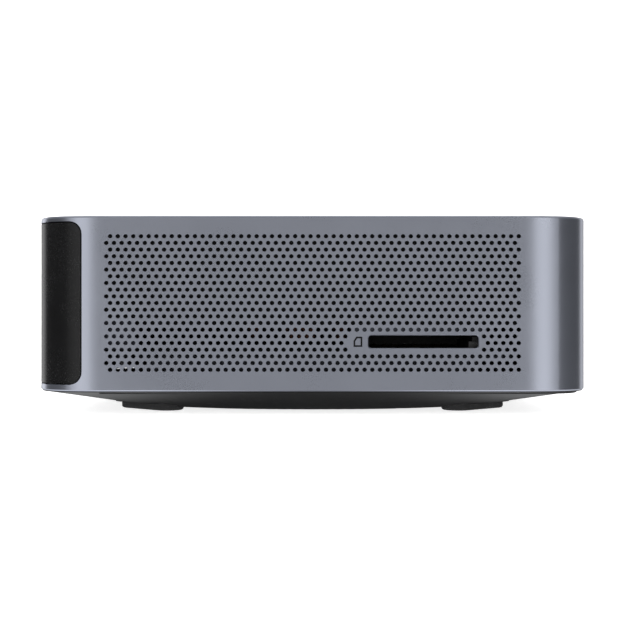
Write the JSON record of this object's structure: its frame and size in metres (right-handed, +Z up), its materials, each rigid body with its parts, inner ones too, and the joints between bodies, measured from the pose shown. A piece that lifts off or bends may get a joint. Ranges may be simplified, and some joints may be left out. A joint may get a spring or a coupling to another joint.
{
  "type": "mini pc",
  "caption": "Small square desktop computer: aluminium body with drilled side grilles, black wrap-round rear port panel, dished base on rubber feet, power button and side card slot.",
  "frame": {"origin": "on the surface the feet stand on, under the middle of the body's box", "axes": "+Z up; -Y out of the front face with the power button; +Y out of the rear port panel; -X out of the side with the card slot"},
  "size_m": [0.135, 0.132, 0.0469],
  "materials": {
    "shell_aluminium": "bead blasted and anodised grey",
    "button_aluminium": "bead blasted and anodised grey",
    "panel_plastic": "satin black",
    "base_plastic": "fine matte texture",
    "foot_rubber": "matte",
    "screw_steel": "zinc plated",
    "insert_brass": "knurled",
    "frame_steel": "stamped sheet",
    "board_laminate": "dark solder mask",
    "chip_resin": "moulded resin",
    "socket_plastic": "glass filled plastic",
    "port_steel": "nickel plated",
    "contact_gold": "gold plated",
    "copper": "bare copper",
    "fin_aluminium": "plain sheet",
    "blower_plastic": "moulded",
    "light_plastic": "translucent",
    "screen_mesh": "fine woven mesh"
  },
  "bodies": {
    "chassis": {"antennas": "contact_gold", "audio_jack": "socket_plastic", "blower_cover": "blower_plastic", "blower_housing": "blower_plastic", "blower_posts": "screw_steel", "bottom_cover": "base_plastic", "bracket_inserts": "insert_brass", "button_carrier": "socket_plastic", "button_ring": "light_plastic", "card_contacts": "contact_gold", "card_reader_body": "socket_plastic", "card_reader_cover": "frame_steel", "card_screws": "screw_steel", "card_slot_frame": "shell_aluminium", "card_sockets": "socket_plastic", "case_screws": "screw_steel", "cell_holder": "socket_plastic", "coin_cell": "port_steel", "cold_plate": "copper", "cooler_screws": "screw_steel", "dc_jack": "socket_plastic", "dc_pin": "port_steel", "dust_screens": "screen_mesh", "enclosure_shell": "shell_aluminium", "fan_stator": "blower_plastic", "fin_stack": "fin_aluminium", "foot_front_left": "foot_rubber", "foot_front_right": "foot_rubber", "foot_rear_left": "foot_rubber", "foot_rear_right": "foot_rubber", "front_usb_c_inserts": "socket_plastic", "front_usb_c_shells": "port_steel", "front_usb_inserts": "socket_plastic", "front_usb_shells": "port_steel", "hdmi_inserts": "socket_plastic", "hdmi_shells": "port_steel", "heat_pipes": "copper", "inner_frame": "frame_steel", "lan_insert": "socket_plastic", "lan_shell": "port_steel", "light_pipe": "light_plastic", "memory_modules": "board_laminate", "memory_sockets": "socket_plastic", "motherboard": "board_laminate", "power_parts": "chip_resin", "power_switch": "socket_plastic", "processor": "chip_resin", "rear_panel": "panel_plastic", "rear_usb_c_inserts": "socket_plastic", "rear_usb_c_shells": "port_steel", "rear_usb_inserts": "socket_plastic", "rear_usb_shells": "port_steel", "side_grille_left": "shell_aluminium", "side_grille_right": "shell_aluminium", "solid_state_drive": "board_laminate", "status_light": "light_plastic", "wireless_card": "board_laminate"},
    "power_button": {"power_button": "button_aluminium"},
    "fan_rotor": {"fan_rotor": "blower_plastic"}
  },
  "joints": [
    {"name": "power_press", "type": "slide", "parent": "chassis", "child": "power_button", "axis": [0, 1, 0], "range_m": [0, 0.0006], "stiffness_N_per_m": 2000, "springref_m": -0.0003},
    {"name": "fan_spin", "type": "hinge", "parent": "chassis", "child": "fan_rotor", "pos_m": [0, 0.01, 0.038], "axis": [0, 0, 1], "continuous": true}
  ]
}
